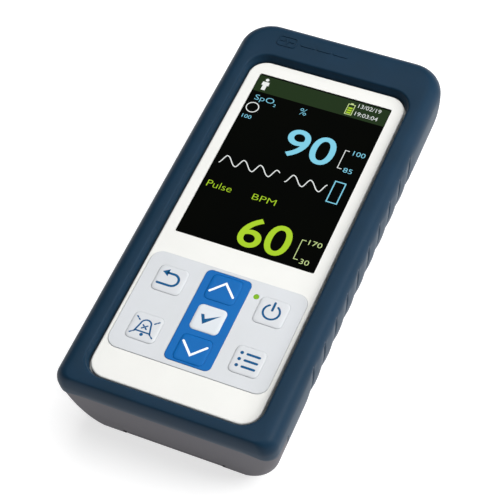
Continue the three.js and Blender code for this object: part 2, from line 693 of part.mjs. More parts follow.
// Profile up the cell's axis: base, wrapped body, then the positive nub
function makeCell(x, yLow, nubUp) {
  const body = CELL_LENGTH - CELL_NUB;
  const profile = [
    [0, 0],
    [CELL_RADIUS - 0.4, 0],
    [CELL_RADIUS, 0.4],
    [CELL_RADIUS, body - 0.4],
    [CELL_RADIUS - 0.4, body],
    [NUB_RADIUS, body],
    [NUB_RADIUS, CELL_LENGTH],
    [0, CELL_LENGTH],
  ];
  const cell = new THREE.LatheGeometry(profile.map(([r, h]) => new THREE.Vector2(r, h)), ROUND_STEPS);
  if (!nubUp) {
    cell.rotateX(Math.PI);
    cell.translate(0, CELL_LENGTH, 0);
  }
  cell.translate(x, yLow, CELL_Z);
  return cell;
}

class ConeCoil extends THREE.Curve {
  constructor(x, yBase, yTip) {
    super();
    Object.assign(this, { x, yBase, yTip });
  }

  getPoint(t) {
    const angle = 2 * Math.PI * 3 * t;
    const radius = 4.6 - 2 * t;
    const y = this.yBase + (this.yTip - this.yBase) * t;
    return new THREE.Vector3(this.x + radius * Math.cos(angle), y, CELL_Z + radius * Math.sin(angle));
  }
}

function makeBatterySpring(x, yBase, yTip) {
  const wire = new THREE.Shape();
  wire.absarc(0, 0, 0.35, 0, 2 * Math.PI);
  return new THREE.ExtrudeGeometry(wire, {
    steps: 27,
    curveSegments: 5,
    bevelEnabled: false,
    extrudePath: new ConeCoil(x, yBase, yTip),
  });
}

const CONTACT_LOW_Y = BAY.yLow + CONTACT_GAP;
const CONTACT_TOP_Y = BAY.yTop - CONTACT_GAP;
const CELL_STEP = CELL_LENGTH + CONTACT_GAP;
const COLUMN_LOW_Y = CONTACT_LOW_Y + CONTACT + CONTACT_GAP;
const COLUMN_TOP_Y = CONTACT_TOP_Y - CONTACT - CONTACT_GAP;
const SPRING_WIRE = 0.4;

function contactPlate(xLow, xHigh, yLow) {
  return box(xLow, xHigh, yLow, yLow + CONTACT, CELL_Z - 5, CELL_Z + 5);
}

addPiece('battery_tray', makeTray(), BLACK_PLASTIC);
for (let row = 0; row < 2; row += 1) {
  const leftLow = COLUMN_TOP_Y - CELL_LENGTH - row * CELL_STEP;
  const rightLow = COLUMN_LOW_Y + row * CELL_STEP;
  addPiece(`battery_cell_${row + 1}`, makeCell(-CELL_X, leftLow, true), CELL_WRAP);
  addPiece(`battery_cell_${row + 3}`, makeCell(CELL_X, rightLow, false), CELL_WRAP);
}
const leftSpringTip = COLUMN_TOP_Y - CELL_LENGTH - CELL_STEP - CONTACT_GAP - SPRING_WIRE;
const rightSpringTip = COLUMN_LOW_Y + CELL_LENGTH + CELL_STEP + CONTACT_GAP + SPRING_WIRE;
addPiece('battery_spring_1', makeBatterySpring(-CELL_X, COLUMN_LOW_Y + SPRING_WIRE, leftSpringTip), STEEL);
addPiece('battery_spring_2', makeBatterySpring(CELL_X, COLUMN_TOP_Y - SPRING_WIRE, rightSpringTip), STEEL);
addPiece('contact_terminal_1', contactPlate(-CELL_X - 5, -CELL_X + 5, CONTACT_LOW_Y), TIN);
addPiece('contact_terminal_2', contactPlate(CELL_X - 5, CELL_X + 5, CONTACT_LOW_Y), TIN);
addPiece('contact_bridge', contactPlate(-CELL_X - 5, CELL_X + 5, CONTACT_TOP_Y - CONTACT), TIN);

// ---- battery door, which slides off over the low end -----------------------------------

const DOOR_LOW_Y = FLARE.faceY + FLARE.slope * FLARE.topZ;
const THUMB_RIBS = { count: 5, yLow: 18, pitch: 3, width: 1.2, halfX: 8, zTop: PLATEAU_Z + 0.6 };
const LABEL = { halfX: 13, yLow: -30, yTop: 10, radius: 1.5, thick: 0.25 };

function makeDoor() {
  const outside = box(-DOOR.halfX, DOOR.halfX, DOOR_LOW_Y, DOOR.yTop, PLATEAU_Z, PLATEAU_Z + DOOR.thick);
  const lips = box(-DOOR.lipX, DOOR.lipX, DOOR_LOW_Y, DOOR.yTop, DOOR.lipZ, PLATEAU_Z + DOOR.thick);
  const labelSeat = plate(LABEL, -1, PLATEAU_Z + LABEL.thick + 0.05, 0.2);
  const thumbRibs = [];
  for (let rib = 0; rib < THUMB_RIBS.count; rib += 1) {
    const yLow = THUMB_RIBS.yLow + THUMB_RIBS.pitch * rib;
    const yTop = yLow + THUMB_RIBS.width;
    thumbRibs.push(box(-THUMB_RIBS.halfX, THUMB_RIBS.halfX, yLow, yTop, -1, THUMB_RIBS.zTop));
  }
  return combine(outside, [lips], [labelSeat, ...thumbRibs]);
}

addPiece('battery_door', makeDoor(), GREY_PLASTIC);
addPiece('rating_label', plate(LABEL, PLATEAU_Z, PLATEAU_Z + LABEL.thick), LABEL_SILVER);

// ---- screws ----------------------------------------------------------------------------

// A pan-head screw along Z: head first, with its drive recess, then the shank
function makeScrew(x, y, headZ, tipZ, headRadius, shankRadius) {
  const direction = Math.sign(tipZ - headZ);
  const headTall = 1.5;
  const shoulder = headZ + direction * headTall;
  const span = (a, b) => [Math.min(a, b), Math.max(a, b)];
  const head = cylinder(headRadius, x, y, ...span(headZ, shoulder), 12);
  const shank = cylinder(shankRadius, x, y, ...span(shoulder - direction * 0.5, tipZ), 8);
  const drive = cylinder(1, x, y, ...span(headZ - direction, headZ + direction * 0.8), 6);
  return combine(head, [shank], [drive]);
}

CASE_SCREWS.forEach(([x, y], count) => {
  addPiece(`case_screw_${count + 1}`, makeScrew(x, y, 3.1, 24, 2.7, 1.2), STEEL);
});
BOARD_SCREWS.forEach(([x, y], count) => {
  addPiece(`board_screw_${count + 1}`, makeScrew(x, y, BOARD_Z + BOARD_THICK + 1.6, 15, 2.3, 1.1), STEEL);
});

export default group;
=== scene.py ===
"""Looks for the handheld patient monitor in its rubber boot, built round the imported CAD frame.

Everything is worked out in millimetres and written to Blender in metres. The monitor lies on its
back: +X is right, +Y points to the sensor end and +Z comes out of the screen.
"""
import math

import bmesh
import bpy
from mathutils import Matrix, Vector


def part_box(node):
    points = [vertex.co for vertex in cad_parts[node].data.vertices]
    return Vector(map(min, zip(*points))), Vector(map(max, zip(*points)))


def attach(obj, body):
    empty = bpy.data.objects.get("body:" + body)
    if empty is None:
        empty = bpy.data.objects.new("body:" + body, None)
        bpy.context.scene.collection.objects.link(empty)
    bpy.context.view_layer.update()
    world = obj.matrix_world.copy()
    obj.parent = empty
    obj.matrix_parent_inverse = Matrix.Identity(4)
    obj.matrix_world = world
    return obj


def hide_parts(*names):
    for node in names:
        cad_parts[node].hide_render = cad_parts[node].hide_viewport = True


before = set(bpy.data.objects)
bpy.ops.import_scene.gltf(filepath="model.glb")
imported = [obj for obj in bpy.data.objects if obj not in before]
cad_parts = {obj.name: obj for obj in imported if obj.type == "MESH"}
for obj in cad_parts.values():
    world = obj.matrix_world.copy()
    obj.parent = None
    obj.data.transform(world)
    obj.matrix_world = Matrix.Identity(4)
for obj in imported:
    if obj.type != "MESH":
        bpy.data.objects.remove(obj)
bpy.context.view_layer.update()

MM = 0.001


def extent(node):
    """Lowest and highest corner of a CAD node, in millimetres."""
    low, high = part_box(node)
    return low / MM, high / MM


# ---- sizes taken from the frame ----------------------------------------------------------

boot_high = extent("boot")[1]
case_high = extent("front_case")[1]
rear_low = extent("rear_case")[0]
panel_low, panel_high = extent("keypad_overlay")
strip_low, strip_high = extent("nav_strip")
lens_low, lens_high = extent("display_lens")
door_high = extent("battery_door")[1]
led_low, led_high = extent("led_light_pipe")

HEIGHT = boot_high.z
END_Y = boot_high.y
FACE_Z = case_high.z
PLATEAU_Z = rear_low.z
SCREEN_Y = (lens_low.y + lens_high.y) / 2

# ---- the outer form, as in the CAD source --------------------------------------------------

WIDE_Z = 26.5
WIDE_HALF = 37.8
BASE_HALF = 27
BASE_TOP = 74
CREST_HALF = 33
CREST_TOP = 77
CREST_LOW = 81
LOW_DRAFT = 0.117
RADIUS_TOP = 11.5
RADIUS_LOW = 5
BOOT_WALL = 2.6
CLEAR = 0.3
UNIT_INSET = BOOT_WALL + CLEAR
CASE_WALL = 2.1
HOLLOW_INSET = UNIT_INSET + CASE_WALL
BOOT_BACK = 2
SHOULDER_Z = 24.6
SHOULDER_R = 3
PARTING_Z = 20.6
WINDOW = dict(half=29.6, low=-76.4, top=64.6, radius=7)
CREST = dict(half=30.3, low=-77.2, top=65.4, radius=7.5)
FACE_GAP = 0.6
FACE_WALL = 1.7
EMBLEM_RISE = 0.25
BOOT_END_Y = -69.7              # the boot has no back or side walls behind this
BOOT_LOW_EDGE_Z = 24            # lower edge of its wall there
EDGE_DIP = dict(start=27, depth=2.2)
BACK_WINDOW = dict(half=22, low=-76, top=55, radius=5)

# Openings at the sensor end, and the battery bay and its door
PLUG = dict(x=-8, z=12.9, half=16, half_z=6.3)
FLAP_ROOM = dict(x=16.35, z=13.05, half=5.4, half_z=5.05)
USB_HOLE = dict(x=16.35, z=13.2, half=4.3, half_z=2.4, radius=0.8)
CELL_OPENING = dict(half=15.8, low=-72.9, top=35.3)
DOOR = dict(half=17, lip_half=18, lip_z=1.3, gap=0.1)
GRILLE = dict(rows=4, low=42.2, pitch=3, width=1.6, half=8)

CORNER_STEPS = 14
END_STEPS = 10
GRIP = dict(count=10, first=41.2, pitch=9.9, depth=1.2, swell=0.4, sharp=0.42)


def body_level(z, inset=0.0):
    """One level of the outer form, moved in by inset."""
    above = z > WIDE_Z
    rise = (z - WIDE_Z) / (HEIGHT - WIDE_Z) if above else (WIDE_Z - z) / WIDE_Z
    reach = math.sqrt(max(0.0, 1 - rise * rise))

    def between(edge, wide):
        return edge + (wide - edge) * reach

    half = between(CREST_HALF if above else BASE_HALF, WIDE_HALF)
    top = between(CREST_TOP if above else BASE_TOP, END_Y)
    low = -between(CREST_LOW, END_Y) if above else LOW_DRAFT * (WIDE_Z - z) - END_Y
    pulled_in = WIDE_HALF - half
    return dict(
        z=z,
        half=half - inset,
        low=low + inset,
        top=top - inset,
        radius_top=max(1.2, RADIUS_TOP - 0.8 * pulled_in - inset),
        radius_low=max(1.2, RADIUS_LOW - 0.35 * pulled_in - inset),
    )


def level(z, shape, grow=0.0):
    """A level of a plain rounded rectangle, moved out by grow."""
    radius = max(shape["radius"] + grow, 0.1)
    return dict(
        z=z,
        half=shape["half"] + grow,
        low=shape["low"] - grow,
        top=shape["top"] + grow,
        radius_top=radius,
        radius_low=radius,
        x=shape.get("x", 0.0),
    )


def ring(one, side_ys=(), corner_steps=CORNER_STEPS, end_steps=END_STEPS):
    """Points round one level, counter-clockwise seen from above, starting at the low right corner."""
    half, low, top = one["half"], one["low"], one["top"]
    radius_low, radius_top = one["radius_low"], one["radius_top"]
    shift = one.get("x", 0.0)

    def corner(x, y, radius, start):
        for step in range(corner_steps + 1):
            angle = math.radians(start + 90 * step / corner_steps)
            yield x + radius * math.cos(angle), y + radius * math.sin(angle)

    def along_end(x_from, x_to, y):
        for step in range(1, end_steps):
            yield x_from + (x_to - x_from) * step / end_steps, y

    points = list(corner(half - radius_low, low + radius_low, radius_low, -90))
    points += [(half, y) for y in side_ys]
    points += corner(half - radius_top, top - radius_top, radius_top, 0)
    points += along_end(half - radius_top, radius_top - half, top)
    points += corner(radius_top - half, top - radius_top, radius_top, 90)
    points += [(-half, y) for y in reversed(side_ys)]
    points += corner(radius_low - half, low + radius_low, radius_low, 180)
    points += along_end(radius_low - half, half - radius_low, low)
    return [(x + shift, y, one["z"]) for x, y in points]


# ---- mesh tools ----------------------------------------------------------------------------


def new_object(name, vertices, faces):
    mesh = bpy.data.meshes.new(name)
    mesh.from_pydata([Vector(v) * MM for v in vertices], [], faces)
    mesh.validate()
    obj = bpy.data.objects.new(name, mesh)
    bpy.context.scene.collection.objects.link(obj)
    return obj


def loft(name, rings, closed=False):
    """A solid through rings of equal length: capped at both ends, or closed on itself."""
    count = len(rings[0])
    vertices = [point for one in rings for point in one]
    faces = []
    spans = len(rings) if closed else len(rings) - 1
    for index in range(spans):
        here = index * count
        there = ((index + 1) % len(rings)) * count
        for step in range(count):
            following = (step + 1) % count
            faces.append((here + step, here + following, there + following, there + step))
    if not closed:
        faces.append(tuple(reversed(range(count))))
        faces.append(tuple(range((len(rings) - 1) * count, len(rings) * count)))
    return new_object(name, vertices, faces)


def rounded_plate(name, shape, z_low, z_top, edge=0.0, corner_steps=6, grow=0.0):
    """A plate with a rounded top edge."""
    levels = [level(z_low, shape, grow)]
    if edge:
        for step in range(5):
            turn = math.radians(90 * step / 4)
            drop = edge * (1 - math.sin(turn))
            pull = edge * (1 - math.cos(turn))
            levels.append(level(z_top - drop, shape, grow - pull))
    else:
        levels.append(level(z_top, shape, grow))
    return loft(name, [ring(one, (), corner_steps, 2) for one in levels])


def block(name, low, high):
    (x0, y0, z0), (x1, y1, z1) = low, high
    vertices = [(x, y, z) for z in (z0, z1) for y in (y0, y1) for x in (x0, x1)]
    faces = [(0, 2, 3, 1), (4, 5, 7, 6), (0, 1, 5, 4), (2, 6, 7, 3), (0, 4, 6, 2), (1, 3, 7, 5)]
    return new_object(name, vertices, faces)


def drum(name, x, y, radius, z_low, z_top, steps=32):
    def circle(z):
        turn = 2 * math.pi / steps
        return [(x + radius * math.cos(turn * n), y + radius * math.sin(turn * n), z) for n in range(steps)]

    return loft(name, [circle(z_low), circle(z_top)])


def bake_modifiers(obj):
    """Apply all modifiers to the object's mesh."""
    graph = bpy.context.evaluated_depsgraph_get()
    mesh = bpy.data.meshes.new_from_object(obj.evaluated_get(graph))
    obj.modifiers.clear()
    obj.data = mesh


def combine(base, operation, tools):
    for tool in tools:
        modifier = base.modifiers.new("combine", "BOOLEAN")
        modifier.operation = operation
        modifier.solver = "EXACT"
        modifier.object = tool
    bake_modifiers(base)
    for tool in tools:
        bpy.data.objects.remove(tool)
    return base


def carve(base, *tools):
    return combine(base, "DIFFERENCE", tools)


def join_solids(base, *tools):
    return combine(base, "UNION", tools)


def soften(obj, width=0.25, segments=3, angle=32, smooth=40, even=True):
    """Round the sharp edges a little, then shade smooth up to an angle.

    even keeps large flat faces flat beside their rounded edges.
    """
    if width:
        bevel = obj.modifiers.new("soften", "BEVEL")
        bevel.width = width * MM
        bevel.segments = segments
        bevel.limit_method = "ANGLE"
        bevel.angle_limit = math.radians(angle)
        bevel.use_clamp_overlap = True
        bevel.harden_normals = False
        bake_modifiers(obj)
    obj.data.shade_smooth()
    obj.data.set_sharp_from_angle(angle=math.radians(smooth))
    if even:
        weighted = obj.modifiers.new("even", "WEIGHTED_NORMAL")
        weighted.keep_sharp = True
        bake_modifiers(obj)
    return obj


def place(obj, material, body="monitor", nodes=()):
    """Give a piece its material, CAD body and replaced nodes."""
    obj.data.materials.clear()
    obj.data.materials.append(material)
    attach(obj, body)
    if nodes:
        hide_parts(*nodes)
    return obj


# ---- materials -----------------------------------------------------------------------------


def srgb(code):
    """A web colour as linear values."""
    parts = [int(code[n:n + 2], 16) / 255 for n in (0, 2, 4)]
    return [c / 12.92 if c <= 0.04045 else ((c + 0.055) / 1.055) ** 2.4 for c in parts] + [1.0]


def surface(name, colour, other, roughness, metallic=0.0, mottle=180.0, grain=1500.0, bump=0.1,
            depth=0.02, spread=0.06, **sockets):
    """A moulded surface: two close colours in soft patches, uneven roughness and a fine raised grain.

    mottle and grain are noise scales per metre, and depth is the height of the grain in millimetres.
    """
    material = bpy.data.materials.new(name)
    material.use_nodes = True
    nodes = material.node_tree.nodes
    links = material.node_tree.links
    shader = nodes["Principled BSDF"]
    shader.inputs["Metallic"].default_value = metallic
    for socket, value in sockets.items():
        shader.inputs[socket.replace("_", " ")].default_value = value
    place_at = nodes.new("ShaderNodeTexCoord")

    def noise(scale, detail):
        node = nodes.new("ShaderNodeTexNoise")
        node.inputs["Scale"].default_value = scale
        node.inputs["Detail"].default_value = detail
        links.new(place_at.outputs["Object"], node.inputs["Vector"])
        return node

    patches = noise(mottle, 3.0)
    ramp = nodes.new("ShaderNodeValToRGB")
    ramp.color_ramp.elements[0].position = 0.3
    ramp.color_ramp.elements[0].color = srgb(colour)
    ramp.color_ramp.elements[1].position = 0.7
    ramp.color_ramp.elements[1].color = srgb(other)
    links.new(patches.outputs["Fac"], ramp.inputs["Fac"])
    links.new(ramp.outputs["Color"], shader.inputs["Base Color"])

    worn = nodes.new("ShaderNodeMapRange")
    worn.inputs["To Min"].default_value = roughness - spread
    worn.inputs["To Max"].default_value = roughness + spread
    links.new(patches.outputs["Fac"], worn.inputs["Value"])
    links.new(worn.outputs["Result"], shader.inputs["Roughness"])

    fine = noise(grain, 2.0)
    raised = nodes.new("ShaderNodeBump")
    raised.inputs["Strength"].default_value = bump
    raised.inputs["Distance"].default_value = depth * MM
    links.new(fine.outputs["Fac"], raised.inputs["Height"])
    links.new(raised.outputs["Normal"], shader.inputs["Normal"])
    return material


def lit(name, colour, strength, dim=0.85):
    """Pixels of the lit screen, faintly uneven as a backlight is."""
    material = surface(name, "050605", "060706", 0.25, bump=0.0, spread=0.02, Specular_IOR_Level=0.02)
    nodes = material.node_tree.nodes
    links = material.node_tree.links
    shader = nodes["Principled BSDF"]
    patches = nodes.new("ShaderNodeTexNoise")
    patches.inputs["Scale"].default_value = 60
    ramp = nodes.new("ShaderNodeValToRGB")
    ramp.color_ramp.elements[0].color = [c * dim for c in srgb(colour)[:3]] + [1]
    ramp.color_ramp.elements[1].color = srgb(colour)
    place_at = nodes.new("ShaderNodeTexCoord")
    links.new(place_at.outputs["Object"], patches.inputs["Vector"])
    links.new(patches.outputs["Fac"], ramp.inputs["Fac"])
    links.new(ramp.outputs["Color"], shader.inputs["Emission Color"])
    shader.inputs["Emission Strength"].default_value = strength
    return material


RUBBER = surface("boot_rubber", "132d40", "153045", 0.42, mottle=90, grain=2600, bump=0.25, depth=0.02,
                 Specular_IOR_Level=0.08)
WHITE = surface("white_plastic", "e0e0dc", "e4e4e0", 0.35, mottle=60, grain=1800, bump=0.05)
GREY = surface("grey_plastic", "4a484f", "4f4d54", 0.6, mottle=120, grain=2200, bump=0.5, depth=0.04)
PANEL = surface("panel_film", "cacdd0", "ced1d5", 0.45, mottle=80, grain=2500, bump=0.12)
BLUE = surface("strip_film", "0861aa", "0c67b0", 0.42, mottle=80, grain=2500, bump=0.1,
               Specular_IOR_Level=0.1)
KEY_WHITE = surface("ok_film", "cfd5da", "d3d8de", 0.42, mottle=80, grain=2500, bump=0.1)
INK = surface("dark_ink", "07507f", "0a5688", 0.45, mottle=200, grain=3000, bump=0.1,
              Specular_IOR_Level=0.1)
WHITE_INK = surface("white_ink", "f3f7fa", "f8fafc", 0.45, mottle=200, grain=3000, bump=0.1)
GLASS = surface("screen_window", "020302", "030402", 0.1, mottle=40, grain=400, bump=0.01, spread=0.03,
                Specular_IOR_Level=0.005)
LAMP = lit("lamp_green", "8bc22f", 1.0)
TIN = surface("tinned_sheet", "b9bcc0", "c6c9cc", 0.3, metallic=1.0, mottle=300, grain=1200, bump=0.12)
STEEL = surface("plated_steel", "8b8f94", "9da1a6", 0.28, metallic=1.0, mottle=400, grain=1500, bump=0.1)
BLACK = surface("black_plastic", "17181a", "1d1e20", 0.5, mottle=150, grain=2000, bump=0.3)
BOARD = surface("solder_mask", "15502f", "1c6339", 0.35, mottle=500, grain=900, bump=0.25)
FLEX = surface("flex_film", "a8651d", "bd7a2c", 0.3, mottle=300, grain=900, bump=0.1)
SOCKET_BLUE = surface("socket_blue", "22406e", "274878", 0.45, mottle=200, grain=2000, bump=0.2)
GASKET = surface("gasket_rubber", "1b1b1d", "212123", 0.85, mottle=200, grain=2500, bump=0.4)
SLEEVE = surface("cell_sleeve", "23272e", "2b3038", 0.3, mottle=120, grain=1500, bump=0.08)
LABEL = surface("label_film", "cfd1d3", "d6d8da", 0.4, mottle=90, grain=2600, bump=0.1)
FLAP_RUBBER = surface("flap_rubber", "3b3a3e", "424145", 0.75, mottle=150, grain=2600, bump=0.4)
SCREEN_WHITE = lit("screen_white", "f2f6f4", 1.0)
SCREEN_BLUE = lit("screen_blue", "86d6ee", 1.0)
SCREEN_LIME = lit("screen_lime", "b0d92c", 1.0)
SCREEN_PALE = lit("screen_pale", "cfe49a", 1.0)
SCREEN_BAR = lit("screen_bar", "1f3317", 1.0)

# ---- boot ----------------------------------------------------------------------------------

BELLY_STEPS = 16
SHOULDER_STEPS = 10
RIM_Z = HEIGHT - EMBLEM_RISE


def grip_offset(y, z):
    """How far the side is pulled in: soft swells with a sharp notch between each two."""
    fade_in = min(1.0, max(0.0, (z - 4) / 4))
    fade_out = min(1.0, max(0.0, (WIDE_Z + 2 - z) / 2))
    first_y = GRIP["first"]
    last_y = first_y - GRIP["pitch"] * (GRIP["count"] - 1)
    if not last_y - GRIP["pitch"] / 2 <= y <= first_y + GRIP["pitch"] / 2:
        return 0.0
    phase = (first_y - y) / GRIP["pitch"]
    nearest = min(max(round(phase), 0), GRIP["count"] - 1)
    away = abs(phase - nearest) * GRIP["pitch"]
    swell = GRIP["swell"] * math.cos(math.pi * (phase - nearest)) ** 2
    notch = GRIP["depth"] * math.exp(-((away / GRIP["sharp"]) ** 2))
    return (swell + notch) * fade_in * fade_out


def grip_ys():
    """Places along the side in Y, close together at each notch."""
    steps = (-4.2, -3.2, -2.2, -1.5, -1.0, -0.7, -0.45, -0.2, 0, 0.2, 0.45, 0.7, 1.0, 1.5, 2.2, 3.2, 4.2)
    ys = []
    for count in range(GRIP["count"]):
        ys += [GRIP["first"] - GRIP["pitch"] * count + step for step in steps]
    near_the_ends = [-64, -61, -58, 49]         # none reaches the back window's rounded corners
    return sorted(ys + near_the_ends)


def gripped(one, side_ys):
    """An outer ring with its side points pulled in where the grip is."""
    result = []
    for x, y, z in ring(one, side_ys):
        if abs(abs(x) - one["half"]) < 0.01:
            x -= math.copysign(grip_offset(y, z), x)
        result.append((x, y, z))
    return result


def unit_levels(z_low, grow):
    """The case's own form, or a copy moved out by grow, up to the flat under the boot's lip."""
    inset = UNIT_INSET - grow
    heights = [z_low + (SHOULDER_Z - z_low) * step / BELLY_STEPS for step in range(BELLY_STEPS + 1)]
    levels = [body_level(z, inset) for z in heights]
    radius = SHOULDER_R + grow
    for step in range(1, 7):
        turn = math.radians(90 * step / 6)
        turned = body_level(SHOULDER_Z, inset + radius * (1 - math.cos(turn)))
        turned["z"] = SHOULDER_Z + radius * math.sin(turn)
        levels.append(turned)
    return levels


def crest_levels():
    """From the flat rim over the rounded lip and down its wall to the white face."""
    levels = []
    roundness = 0.8
    for step in range(7):
        turn = math.radians(90 * step / 6)
        z = RIM_Z - roundness * (1 - math.cos(turn))
        levels.append(level(z, CREST, roundness * (1 - math.sin(turn))))
    for share in (0.5, 1.0):
        mixed = {}
        for key in ("half", "low", "top", "radius"):
            mixed[key] = CREST[key] + (WINDOW[key] - CREST[key]) * share
        start = RIM_Z - roundness
        levels.append(level(start - (start - FACE_Z) * share, mixed))
    levels.append(level(FACE_Z - 0.3, WINDOW))
    levels.append(level(SHOULDER_Z + SHOULDER_R + CLEAR, WINDOW))
    return levels


def make_boot():
    side_ys = grip_ys()
    outer = []
    for step in range(BELLY_STEPS + 1):
        turn = math.radians(90 * (1 - step / BELLY_STEPS))
        outer.append(body_level(WIDE_Z * (1 - math.sin(turn))))
    for step in range(1, SHOULDER_STEPS + 1):
        turn = math.radians(90 * step / SHOULDER_STEPS)
        flat = body_level(WIDE_Z + (HEIGHT - WIDE_Z) * math.sin(turn))
        flat["z"] = WIDE_Z + (RIM_Z - WIDE_Z) * math.sin(turn)
        outer.append(flat)
    rings = [gripped(one, side_ys) for one in outer]
    rings += [ring(one, side_ys) for one in crest_levels()]
    rings += [ring(one, side_ys) for one in reversed(unit_levels(BOOT_BACK, CLEAR))]
    rings += [ring(level(z, BACK_WINDOW), side_ys) for z in (BOOT_BACK, 0.3)]
    rings.append(ring(level(0, BACK_WINDOW, 0.3), side_ys))
    boot = loft("boot_shell", rings, closed=True)
    carve(boot, low_end_room(-1), end_hole("plug_cut", PLUG, 70), end_hole("flap_cut", FLAP_ROOM, 70))
    return soften(boot, width=0.3, segments=3, angle=50, smooth=50, even=False)


def low_end_room(far_z, drop=0.0):
    """The space at the low end from the boot's lower edge to far_z. The edge dips at both corners."""
    def edge_z(x):
        share = max(0.0, (abs(x) - EDGE_DIP["start"]) / (WIDE_HALF - EDGE_DIP["start"]))
        return BOOT_LOW_EDGE_Z - drop - EDGE_DIP["depth"] * share ** 2

    reach = WIDE_HALF + 2
    xs = [reach * (step / 20 - 1) for step in range(41)]
    outline = [(x, edge_z(x)) for x in xs] + [(reach, far_z), (-reach, far_z)]
    if far_z > BOOT_LOW_EDGE_Z:
        outline.reverse()
    return loft("low_end_room", [[(x, y, z) for x, z in outline] for y in (-100, BOOT_END_Y)])


def end_hole(name, room, y_low, y_high=90):
    """A rounded hole through the sensor end."""
    shape = dict(half=room["half"], low=-room["half_z"], top=room["half_z"], radius=room.get("radius", 1.2))
    hole = loft(name, [ring(level(depth, shape), (), 6, 2) for depth in (-y_high, -y_low)])
    hole.data.transform(Matrix.Rotation(math.radians(90), 4, "X"))
    hole.data.transform(Matrix.Translation(Vector((room["x"], 0, room["z"])) * MM))
    return hole


place(make_boot(), RUBBER, nodes=["boot"])


# ---- emblem on the top rim: a plain pulse trace in a rounded frame --------------------------


def mitre_strip(points, width, closed=False):
    """Left and right offset points of a polyline."""
    count = len(points)
    left, right = [], []
    for index, (x, y) in enumerate(points):
        before = points[index - 1] if index or closed else None
        after = points[(index + 1) % count] if index + 1 < count or closed else None
        directions = []
        if before:
            directions.append((Vector((x, y)) - Vector(before)).normalized())
        if after:
            directions.append((Vector(after) - Vector((x, y))).normalized())
        middle = sum(directions, Vector((0, 0))).normalized()
        normal = Vector((-middle.y, middle.x))
        spread = max(0.35, normal.dot(Vector((-directions[0].y, directions[0].x))))
        reach = width / 2 / spread
        left.append((x + normal.x * reach, y + normal.y * reach))
        right.append((x - normal.x * reach, y - normal.y * reach))
    return left, right


class Sheet:
    """Flat figures at one height, gathered into one thin solid."""

    def __init__(self, name, z, thick=0.03):
        self.name = name
        self.z = z
        self.thick = thick
        self.vertices = []
        self.faces = []

    def fill(self, points):
        start = len(self.vertices)
        self.vertices += [(x, y, self.z) for x, y in points]
        area = 0.0
        for index, (x, y) in enumerate(points):
            next_x, next_y = points[(index + 1) % len(points)]
            area += x * next_y - next_x * y
        face = list(range(start, start + len(points)))
        self.faces.append(face if area > 0 else face[::-1])

    def stroke(self, points, width, closed=False, caps=True):
        left, right = mitre_strip(points, width, closed)
        start = len(self.vertices)
        count = len(points)
        self.vertices += [(x, y, self.z) for pair in zip(left, right) for x, y in pair]
        for index in range(count if closed else count - 1):
            here = start + 2 * index
            there = start + 2 * ((index + 1) % count)
            self.faces.append([here + 1, there + 1, there, here])
        if caps and not closed:
            self.cap(points[1], points[0], width, start + 1, start)
            self.cap(points[-2], points[-1], width, start + 2 * count - 2, start + 2 * count - 1)

    def cap(self, inner, end, width, first, last, steps=6):
        heading = math.atan2(end[1] - inner[1], end[0] - inner[0])
        start = len(self.vertices)
        for step in range(1, steps):
            angle = heading + math.pi / 2 - math.pi * step / steps
            x = end[0] + width / 2 * math.cos(angle)
            y = end[1] + width / 2 * math.sin(angle)
            self.vertices.append((x, y, self.z))
        self.faces.append([last, *range(start + steps - 2, start - 1, -1), first])

    def disc(self, x, y, radius, steps=20):
        turn = 2 * math.pi / steps
        self.fill([(x + radius * math.cos(turn * n), y + radius * math.sin(turn * n)) for n in range(steps)])

    def hoop(self, x, y, radius, width, start=0, sweep=360, steps=36):
        closed = sweep == 360
        count = steps if closed else steps + 1
        points = []
        for n in range(count):
            angle = math.radians(start + sweep * n / steps)
            points.append((x + radius * math.cos(angle), y + radius * math.sin(angle)))
        self.stroke(points, width, closed)

    def add(self, draw, x, y):
        """Draw a small figure with its own origin at x, y."""
        start = len(self.vertices)
        draw(self)
        self.vertices[start:] = [(near + x, up + y, z) for near, up, z in self.vertices[start:]]

    def text(self, words, x, y, height, width, weight):
        """Figures in Blender's own font, fitted to a height and width from their low left corner.

        weight makes the strokes a little thicker, or thinner below zero.
        """
        curve = bpy.data.curves.new("words", "FONT")
        curve.body = words
        curve.offset = weight
        curve.resolution_u = 6
        holder = bpy.data.objects.new("words", curve)
        bpy.context.scene.collection.objects.link(holder)
        graph = bpy.context.evaluated_depsgraph_get()
        mesh = bpy.data.meshes.new_from_object(holder.evaluated_get(graph))
        xs = [v.co.x for v in mesh.vertices]
        ys = [v.co.y for v in mesh.vertices]
        tall = height / (max(ys) - min(ys))
        wide = width / (max(xs) - min(xs))
        start = len(self.vertices)
        for v in mesh.vertices:
            self.vertices.append((x + (v.co.x - min(xs)) * wide, y + (v.co.y - min(ys)) * tall, self.z))
        for polygon in mesh.polygons:
            face = [start + index for index in polygon.vertices]
            self.faces.append(face if polygon.normal.z > 0 else face[::-1])
        bpy.data.objects.remove(holder)
        bpy.data.meshes.remove(mesh)

    def build(self):
        sheet = new_object(self.name, self.vertices, self.faces)
        cleaner = bmesh.new()
        cleaner.from_mesh(sheet.data)
        bmesh.ops.remove_doubles(cleaner, verts=cleaner.verts, dist=1e-7)
        cleaner.to_mesh(sheet.data)
        cleaner.free()
        solid = sheet.modifiers.new("thickness", "SOLIDIFY")
        solid.thickness = self.thick * MM
        solid.offset = -1
        bake_modifiers(sheet)
        return sheet


